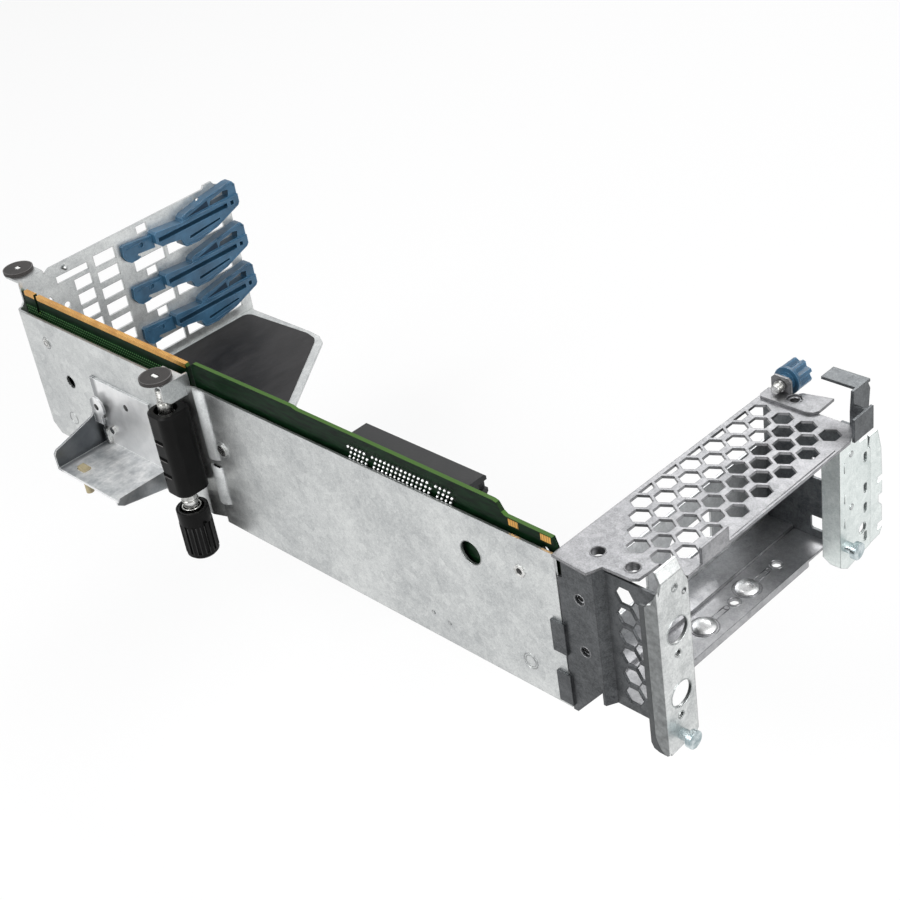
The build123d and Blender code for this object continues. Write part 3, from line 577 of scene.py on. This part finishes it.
class RISER_OT_hardware(bpy.types.Operator):
    """Finish the screws, studs, rivets and nuts"""

    bl_idname = "riser.hardware"
    bl_label = "Hardware"

    def execute(self, context):
        # Nickel-plated turned steel: bright, with sharp highlights
        nickel = plated("nickel_plate", "e8e8e6", "9c9c9a", 0.16)
        paint(["captive_screw", "thumb_screw", "plate_rivets", "clinch_nut", "bracket_screw"], nickel)
        # Blue-passivated zinc on turned steel: bright with a cool cast
        paint(["shoulder_studs"], plated("blue_zinc", "cfd8da", "93a2a6", 0.2))
        return {"FINISHED"}


class RISER_OT_tray_marks(bpy.types.Operator):
    """Add press rings, dimples, the joggle's rounded rib and the painted shade in the bores of nuts and
    rivets
    """

    bl_idname = "riser.tray_marks"
    bl_label = "Tray marks"

    def execute(self, context):
        # Galvanised sheet that was pressed: the same grey, a shade darker
        pressed = galvanised("zinc_marks", "cfd1d0", "a0a3a4", 1.5, 0.32, 0.46)
        shapes = [
            ring((-16.6, PLATE_Y, -50.5), Y, 3.0, 0.22),
            ring((-16.6, PLATE_Y, -50.5), Y, 2.2, 0.12),
            ring((-275.0, LEFT_PLATE_Y, -46.3), Y, 2.8, 0.2),
            ring((-37.7, PLATE_Y, -15.5), Y, 4.6, 0.18),
            ring((-169.0, PLATE_Y, -24.5), Y, 3.4, 0.16),
            ring((-278.6, LEFT_PLATE_Y, -10.8), Y, 2.6, 0.14),
            ring((-268.0, LEFT_PLATE_Y, -26.1), Y, 2.9, 0.14),
            dome((-61.8, PLATE_Y, -51.5), Y, 0.9, -0.25),
            dome((-54.3, PLATE_Y, -52.8), Y, 0.9, -0.25),
        ]
        wall_dimples = ((24.0, 7.6), (95.0, 8.0), (24.0, -52.0), (109.0, -40.0))
        shapes += [dome((WALL_X + 1.0, y, z), X, 1.1, 0.5) for y, z in wall_dimples]
        piece("tray_press_marks", shapes, pressed)
        # The rounded front of the rib along the joggle, in two lengths, rubbed dull
        rubbed = galvanised("zinc_rib", "c6c8c8", "9a9d9d", 1.5, 0.5, 0.64, edge=0.0, metallic=0.3)
        ribs = [bulge(low, high, -176.0, 3.7, 1.5) for low, high in ((-51.0, -33.8), (-30.4, -0.2))]
        piece("joggle_rib", ribs, rubbed)
        # Painted shade: almost black discs and rings in the bores of nuts and rivets
        bore_shade = plastic("thread_bore_shade", "262626", "101010", 0.5)
        bores = [
            dome((-15.8, -0.02, -13.0), Y, 1.15, -0.05),
            dome((-245.2, -5.98, -28.4), Y, 1.5, -0.06),
            dome((-227.4, -2.98, -24.4), Y, 1.6, -0.06),
            dome((8.4, 1.03, -13.4), Y, 1.2, -0.05),
            dome((8.4, 1.03, -34.1), Y, 1.2, -0.05),
            dome((11.8, 107.2, CAGE_TOP_Z), Z, 1.7, 0.05),
            ring((-169.0, -0.8, -24.5), Y, 1.9, 0.14),
            ring((-278.6, -2.5, -10.8), Y, 1.2, 0.1),
        ]
        piece("dark_bores", bores, bore_shade)
        return {"FINISHED"}


class RISER_OT_cage_marks(bpy.types.Operator):
    """Add the rims, lances, domes and edge strip of the rear cage and its posts"""

    bl_idname = "riser.cage_marks"
    bl_label = "Cage marks"

    def execute(self, context):
        # Electro-galvanised sheet that was pressed: even grey
        pressed = galvanised("cage_marks", "a9a9ab", "7a7b7d", 1.5, 0.34, 0.48)
        rims = [ring((x, y, CAGE_TOP_Z), Z, 2.55, 0.22) for x, y in ((10.8, 8.2), (24.3, 8.1))]
        rims.append(ring((11.8, 107.2, CAGE_TOP_Z + 1.0), Z, 2.7, 0.2))
        rims.append(rod((39.0, 36.0, CAGE_TOP_Z), (39.0, 90.0, CAGE_TOP_Z), 0.22))
        rims += [ring((8.8, 0.0, z), Y, 2.1, 0.18) for z in (-13.2, -33.9)]
        rims.append(ring((11.8, 107.2, CAGE_TOP_Z + 0.2), Z, 1.95, 0.5))
        piece("cage_hole_rims", rims, pressed)
        # Rings and keyhole lances round the rail's domes, and its two hole rims
        domes = ((18.8, 45.2), (18.2, 69.0))
        lances = []
        for x, y in domes:
            lances.append(ring((x, y, RAIL_Z), Z, 5.0, 0.18))
            for side in (-1.0, 1.0):
                lances.append(rod((x + side, y + 5.2, RAIL_Z), (x + side, y + 11.6, RAIL_Z), 0.16))
            lances.append(ring((x, y + 11.9, RAIL_Z), Z, 1.0, 0.16, around=20))
        lances += [ring((x, y, RAIL_Z), Z, 2.3, 0.25) for x, y in ((19.0, 61.0), (18.6, 85.0))]
        piece("rail_lances", lances, pressed)
        # Steel that mating parts have polished: small mirrors
        polished = plated("dome_polish", "f2f2f2", "d4d4d4", 0.24)
        caps = [dome((x, y, RAIL_Z), Z, 4.3, 2.4, levels=8) for x, y in domes]
        piece("rail_domes", caps, polished)
        # Lower strip of the near post's side face, as wide as the photograph shows it, painted in a dark tone
        # of the post's zinc as shade
        shaded_web = galvanised("zinc_post_web", "5c5e5f", "484a4b", 3.0, 0.34, 0.46)
        web = [(33, -3.1), (33, -57.6), (34, -59.6), (36, -60.3)]
        web += [(38, -60.3), (36.2, -57.7), (35, -54.3), (35, -3.1)]
        piece("near_post_web_edge", [prism(web, Y, -0.5, 0.5)], shaded_web, smooth=False)
        # Punched rims of the posts: pale zinc
        rim = galvanised("post_marks", "d8dcdb", "9fa4a4", 1.5, 0.3, 0.42)
        large_holes = ((7.6, -15.0), (7.3, -39.6))
        small_holes = ((7.8, 0.8), (7.1, -23.5), (6.4, -47.6))
        edges = [ring((NEAR_POST_X, y, z), X, 4.75, 0.2) for y, z in large_holes]
        edges += [ring((NEAR_POST_X, y, z), X, 1.4, 0.14, around=20) for y, z in small_holes]
        edges += [rod((FAR_POST_X, 96.6, z), (FAR_POST_X, 96.6, z - 4.0), 0.18) for z in (-8.0, -20.0, -30.0)]
        edges += [dome((FAR_POST_X, 100.5, z), X, 1.2, 0.35) for z in (-6.5, -27.5)]
        piece("post_hole_rims", edges, rim)
        return {"FINISHED"}


class RISER_OT_threads(bpy.types.Operator):
    """Add thread ridges to the two screws, a ferrule to the captive one and ribs to its knob"""

    bl_idname = "riser.threads"
    bl_label = "Threads"

    def execute(self, context):
        # Rolled steel threads, plated: bright crests. They are drawn coarse, to show at this size.
        steel = plated("thread_steel", "dcdcd8", "8f8f8c", 0.2)
        ridges = [ring((*CAPTIVE_AXIS, -3.6 + 0.7 * n), Z, 2.0, 0.2, around=28) for n in range(9)]
        ridges += [ring((*CAPTIVE_AXIS, z), Z, 3.05, 0.32) for z in (-43.6, -44.6, -47.2)]
        ridges.append(ring((*CAPTIVE_AXIS, -50.4), Z, 3.6, 0.3))
        piece("captive_thread_ridges", ridges, steel, "captive_screw")
        thumb_x, thumb_z = THUMB_AXIS
        thumb = [ring((thumb_x, 105.4 + 0.5 * n, thumb_z), Y, 1.6, 0.16, around=24) for n in range(4)]
        piece("thumb_thread_ridges", thumb, steel, "thumbscrew")
        # Plain ferrule where the screw leaves the sleeve
        ferrule = [
            rod((*CAPTIVE_AXIS, -8.0), (*CAPTIVE_AXIS, -3.4), 2.8, section=28),
            rod((*CAPTIVE_AXIS, -3.4), (*CAPTIVE_AXIS, -2.4), 2.35, section=28),
        ]
        piece("captive_ferrule", ferrule, steel, "captive_screw", smooth=False)
        # Moulded nylon of the knob: black, with fine ribs between two rims
        nylon = plastic("knob_socket_resin", "1a1a1a", "0c0c0c", 0.45, gloss=0.3)
        knob = [ring((*CAPTIVE_AXIS, -51.2), Z, 5.4, 0.35), ring((*CAPTIVE_AXIS, -70.8), Z, 5.9, 0.25)]
        ribs, rib_reach = 24, 6.35
        for step in range(ribs):
            turn = 2 * math.pi * (step + 0.5) / ribs
            x = CAPTIVE_AXIS[0] + rib_reach * math.cos(turn)
            y = CAPTIVE_AXIS[1] + rib_reach * math.sin(turn)
            knob.append(rod((x, y, -70.2), (x, y, -57.4), 0.3, section=6))
        piece("knob_rims", knob, nylon, "captive_screw")
        return {"FINISHED"}


class RISER_OT_sleeve_and_discs(bpy.types.Operator):
    """Add black blocks of painted shade on the sleeve's notches, lips of painted highlight, the discs' pale
    rims and pale blocks of painted light in their slots
    """

    bl_idname = "riser.sleeve_and_discs"
    bl_label = "Sleeve and discs"

    def execute(self, context):
        # Grey plastic: a thin pale line, painted highlight on the notches' lips and a paler ring round each
        # disc
        rubbed = plastic("disc_rim_rubber", "6c6a69", "4e4c4b", 0.5)
        # Black blocks on the notches in the left half of the sleeve's front: painted shade, flat black, since
        # no light gets in
        shadow = plastic("notch_black", "030303", "010101", 0.8, gloss=0.05)
        left, right, front, back = -188.4, -183.2, -16.0, -15.6
        notches, lips = [], []
        for level in (-18.3, -25.8, -33.3):
            notches.append(brick((left, front, level - 0.75), (right, back, level + 0.75)))
            ends = [(x, front + 0.1, level - 1.0) for x in (left + 0.4, right - 0.4)]
            lips.append(rod(*ends, 0.22))
        piece("sleeve_notches", notches, shadow, smooth=False)
        piece("sleeve_notch_lips", lips, rubbed)
        # Pale blocks in the slots of the two discs: painted light on the zinc seen through them, a white
        # fleck
        fleck = plastic("slot_pale_zinc", "f6f6f4", "e4e4e2", 0.6)
        slots = [
            brick((-305.6, 7.4, 11.0), (-303.4, 8.8, 12.45)),
            brick((-190.1, -9.2, 5.0), (-186.9, -8.0, 6.45)),
        ]
        piece("disc_slot_metal", slots, fleck, smooth=False)
        rims = [ring((-304.5, 8.1, 12.3), Z, 6.0, 0.2), ring((-188.5, -8.6, 6.3), Z, 6.0, 0.2)]
        piece("disc_rims", rims, rubbed)
        return {"FINISHED"}


def tail_beads(slot_z, face_y, radius, height):
    """Solder beads of one connector's tails: three staggered rows with two places left out."""
    beads = []
    for row, lift in enumerate((-1.0, 1.0, 3.0)):
        for step in range(25):
            if step not in (5, 20):
                x = SLOT_LEFT_X + 4.5 + row % 2 + 2.0 * step
                beads.append(dome((x, face_y, slot_z + lift), Y, radius, height, around=8, levels=3))
    return beads


class RISER_OT_board_details(bpy.types.Operator):
    """Add the connectors' spring contacts and solder beads, and the board's capacitors and chips"""

    bl_idname = "riser.board_details"
    bl_label = "Board details"

    def execute(self, context):
        board_far_y, board_near_y, mouth_y = 3.9, 2.3, 15.15
        slots = [SLOT_TOP_Z - SLOT_STEP * number for number in range(3)]
        # Gold-plated spring contacts, stamped: warm glints inside the slots, none at the key
        gold = plated("spring_contact_gold", "e0b56a", "a97f3c", 0.25)
        springs = []
        for level in slots:
            for step in range(49):
                along = 3.6 + step
                if 10.8 < along < 16.8:
                    continue
                x = SLOT_LEFT_X + along
                for side in (-0.9, 0.62):
                    low = (x - 0.2, mouth_y - 7.5, level + side)
                    springs.append(brick(low, (x + 0.2, mouth_y - 1.2, level + side + 0.28)))
        piece("spring_contacts", springs, gold, smooth=False)
        # Sintered ceramic, tan and matt, between tinned ends
        ceramic = plastic("capacitor_ceramic", "8a7455", "6b5940", 0.5)
        tin = plated("capacitor_ends", "dadbd8", "a6a7a4", 0.3)
        spots = [(-30.0 + 5.0 * (n % 5), -12.0 - 9.0 * (n // 5)) for n in range(20)]
        spots += [(-120.0 - 7.0 * (n % 7), -8.0 - 12.0 * (n // 7)) for n in range(21)]
        bodies, ends = [], []
        for x, z in spots:
            bodies.append(brick((x - 0.5, board_far_y, z - 0.4), (x + 0.5, board_far_y + 0.5, z + 0.4)))
            for side in (-0.8, 0.5):
                low = (x + side, board_far_y, z - 0.42)
                ends.append(brick(low, (x + side + 0.3, board_far_y + 0.52, z + 0.42)))
        piece("capacitors", bodies, ceramic, smooth=False)
        piece("capacitor_ends", ends, tin, smooth=False)
        # Moulded epoxy of the chips: charcoal, without print
        epoxy = plastic("chip_resin", "202122", "131414", 0.5, gloss=0.35)
        chips = []
        for x, z, wide, high in ((-150, -30, 8, 8), (-135, -44, 5, 4), (-250, -20, 6, 5)):
            chips.append(brick((x, board_far_y, z), (x + wide, board_far_y + 1.0, z + high)))
        piece("board_chips", chips, epoxy, smooth=False)
        # Wave solder: white glints
        solder = plated("tail_solder", "ffffff", "d6d8d6", 0.35)
        hidden = [drop for level in slots[1:] for drop in tail_beads(level, board_near_y, 0.45, -0.8)]
        piece("hidden_solder_tails", hidden, solder)
        piece("solder_tail_beads", tail_beads(slots[0], board_near_y - 0.5, 0.58, -0.75), solder)
        return {"FINISHED"}


class RISER_OT_guide_details(bpy.types.Operator):
    """Add the groove lips, rims, mounting rings and the almost black plates of painted shade in the pockets
    of the card guides
    """

    bl_idname = "riser.guide_details"
    bl_label = "Guide details"

    def execute(self, context):
        light = context.scene.riser_finish.guide_blue
        # Moulded ABS, as the guides: rims with a painted highlight along their edges
        blue = plastic("guide_detail_blue", light, "26475f", 0.3, gloss=0.5, edge=0.4)
        # Thin plates of the same ABS between the arm and the groove, painted almost black as shade
        pocket_shade = plastic("guide_pocket_blue", "1d3346", "12202c", 0.6, gloss=0.2)
        face_x, foot_x = WALL_X + 5.2, WALL_X + 2.0
        arm_x = face_x - 0.75
        upper_rim = [(83.2, 5.4), (84.8, 6.2), (98.0, 8.7), (110.4, 10.3), (112.4, 10.1), (113.6, 8.5)]
        lower_rim = [(113.4, 0.0), (112.8, -0.8), (99.7, -5.6), (88.7, -7.7)]
        lower_rim += [(82.4, -7.4), (80.9, -6.4), (80.0, -3.5)]
        shapes, pockets = [], []
        for index in range(3):
            drop = SLOT_STEP * index
            for z in (0.1, 2.55):
                shapes.append(rod((face_x, 68.8, z - drop), (face_x, 107.2, z - drop), 0.22))
            shapes.append(rod((face_x, 83.2, -6.9 - drop), (face_x, 99.4, -5.2 - drop), 0.2))
            shapes.append(ring((foot_x, 61.3, 1.6 - drop), X, 1.3, 0.2, around=20))
            shapes.append(brick((foot_x, 53.4, 2.6 - drop), (foot_x + 0.35, 66.0, 3.0 - drop)))
            shapes += bead([(arm_x, y, z - drop) for y, z in upper_rim], 0.5)
            shapes += bead([(face_x, y, z - drop) for y, z in lower_rim], 0.35)
            shapes += bead([(face_x, 83.4, 3.9 - drop), (face_x, 113.2, 3.9 - drop)], 0.3)
            pocket = [(86.2, 4.6 - drop), (97.6, 7.4 - drop), (98.0, 4.6 - drop)]
            pockets.append(prism(pocket, X, face_x - 0.82, face_x - 0.7))
        piece("guide_ribs", shapes, blue)
        piece("guide_pockets", pockets, pocket_shade, smooth=False)
        return {"FINISHED"}


def area_light(name, place, target, size, power):
    """Add one soft light aimed at a point."""
    lamp = bpy.data.lights.new(name, "AREA")
    lamp.shape = "RECTANGLE"
    lamp.size, lamp.size_y = size
    lamp.energy = power
    holder = bpy.data.objects.new(name, lamp)
    bpy.context.collection.objects.link(holder)
    holder.location = place
    away_x, away_y, away_z = [t - p for t, p in zip(target, place)]
    tip = math.atan2(math.hypot(away_x, away_y), -away_z)
    holder.rotation_euler = (tip, 0, math.atan2(away_y, away_x) - math.pi / 2)


def shown_as_background(tree, plain, shown):
    """One shader for rays that show the background, to the camera, in metal or glass, and one for others."""
    path = add(tree, "ShaderNodeLightPath", output=None).outputs
    seen = add(tree, "ShaderNodeMath", (path["Is Camera Ray"], path["Is Glossy Ray"]), operation="MAXIMUM")
    seen = add(tree, "ShaderNodeMath", (seen, path["Is Transmission Ray"]), operation="MAXIMUM")
    return add(tree, "ShaderNodeMixShader", (seen, plain, shown))


class RISER_OT_stage(bpy.types.Operator):
    """Build the floor, the lights, the world and the camera"""

    bl_idname = "riser.stage"
    bl_label = "Stage"

    def execute(self, context):
        studio = context.scene.riser_studio
        # Painted card: white, with a little of its own shading, so that the floor keeps a soft shadow
        bpy.ops.mesh.primitive_plane_add(size=6, location=(0, 0, -0.13))
        floor = context.object
        floor.name = "studio_floor"
        material = bpy.data.materials.new("pale_sweep")
        material.use_nodes = True
        tree = material.node_tree
        tree.nodes.clear()
        card = add(tree, "ShaderNodeBsdfDiffuse", {"Color": (0.82, 0.82, 0.82, 1)})
        glow = add(tree, "ShaderNodeEmission", {"Color": (1, 1, 1, 1), "Strength": 0.84})
        shade = add(tree, "ShaderNodeBsdfDiffuse", {"Color": (0.15, 0.15, 0.15, 1)})
        shown = add(tree, "ShaderNodeAddShader", (glow, shade))
        surface = shown_as_background(tree, card, shown)
        add(tree, "ShaderNodeOutputMaterial", (surface,), output=None)
        floor.data.materials.append(material)

        # Soft grey surroundings that light the part, seen as white
        world = bpy.data.worlds.new("studio_world")
        context.scene.world = world
        world.use_nodes = True
        tree = world.node_tree
        tree.nodes.clear()
        place = add(tree, "ShaderNodeTexCoord", output="Generated")
        height = add(tree, "ShaderNodeSeparateXYZ", {"Vector": place}, output=2)
        height = add(tree, "ShaderNodeMapRange", (height, -0.1, 1.0, 0, 1))
        greys = [(0, (0.60, 0.61, 0.62, 1)), (0.35, (0.38, 0.39, 0.40, 1)), (1, (0.44, 0.44, 0.45, 1))]
        sky = add(tree, "ShaderNodeValToRGB", {"Fac": height}, stops=greys)
        soft = add(tree, "ShaderNodeBackground", {"Color": sky, "Strength": 0.8})
        white = add(tree, "ShaderNodeBackground", {"Color": (1, 1, 1, 1), "Strength": 1.0})
        surroundings = shown_as_background(tree, soft, white)
        add(tree, "ShaderNodeOutputWorld", (surroundings,), output=None)

        power = studio.key_power
        area_light("key_light", (-0.15, -0.85, 0.7), (0, 0.02, 0), (0.6, 0.6), power)
        area_light("fill_light", (0.95, 0.05, 0.25), (0.1, 0.05, 0), (0.5, 0.5), power * 0.8)
        area_light("back_light", (-0.2, 0.9, 0.8), (0, 0.05, 0), (0.9, 0.4), power * 0.6)

        # The photograph's view, solved from its vanishing points
        lens = bpy.data.cameras.new("photo_camera")
        camera = bpy.data.objects.new("photo_camera", lens)
        context.collection.objects.link(camera)
        camera.location = (0.476727, -0.270680, 0.307006)
        camera.rotation_euler = tuple(math.radians(a) for a in (56.2309, 7.9515, 44.8124))
        lens.sensor_width = 36
        lens.lens = studio.lens
        lens.shift_x = 0.00848
        lens.shift_y = 0.00979
        lens.clip_start = 0.01
        context.scene.camera = camera
        context.scene.view_settings.view_transform = "Standard"
        return {"FINISHED"}


STEPS = (
    RISER_OT_sheet_metal,
    RISER_OT_board,
    RISER_OT_guides,
    RISER_OT_blacks,
    RISER_OT_hardware,
    RISER_OT_tray_marks,
    RISER_OT_cage_marks,
    RISER_OT_threads,
    RISER_OT_sleeve_and_discs,
    RISER_OT_board_details,
    RISER_OT_guide_details,
    RISER_OT_stage,
)


class RISER_PT_panel(bpy.types.Panel):
    """Sidebar panel that lists the settings and the steps"""

    bl_idname = "RISER_PT_panel"
    bl_label = "Riser Cage"
    bl_space_type = "VIEW_3D"
    bl_region_type = "UI"
    bl_category = "Riser Cage"

    def draw(self, context):
        column = self.layout.column()
        for name in ("spangle", "guide_blue", "mould_black"):
            column.prop(context.scene.riser_finish, name)
        for name in ("key_power", "lens"):
            column.prop(context.scene.riser_studio, name)
        for step in STEPS:
            column.operator(step.bl_idname)


CLASSES = (RiserFinish, RiserStudio, *STEPS, RISER_PT_panel)


def register():
    """Register the classes and their settings."""
    for item in CLASSES:
        bpy.utils.register_class(item)
    bpy.types.Scene.riser_finish = bpy.props.PointerProperty(type=RiserFinish)
    bpy.types.Scene.riser_studio = bpy.props.PointerProperty(type=RiserStudio)


def unregister():
    """Remove the settings and the classes."""
    del bpy.types.Scene.riser_studio
    del bpy.types.Scene.riser_finish
    for item in reversed(CLASSES):
        bpy.utils.unregister_class(item)


def main():
    """Run every step in order."""
    register()
    bpy.ops.riser.sheet_metal()
    bpy.ops.riser.board()
    bpy.ops.riser.guides()
    bpy.ops.riser.blacks()
    bpy.ops.riser.hardware()
    bpy.ops.riser.tray_marks()
    bpy.ops.riser.cage_marks()
    bpy.ops.riser.threads()
    bpy.ops.riser.sleeve_and_discs()
    bpy.ops.riser.board_details()
    bpy.ops.riser.guide_details()
    bpy.ops.riser.stage()


if __name__ == "__main__":
    main()
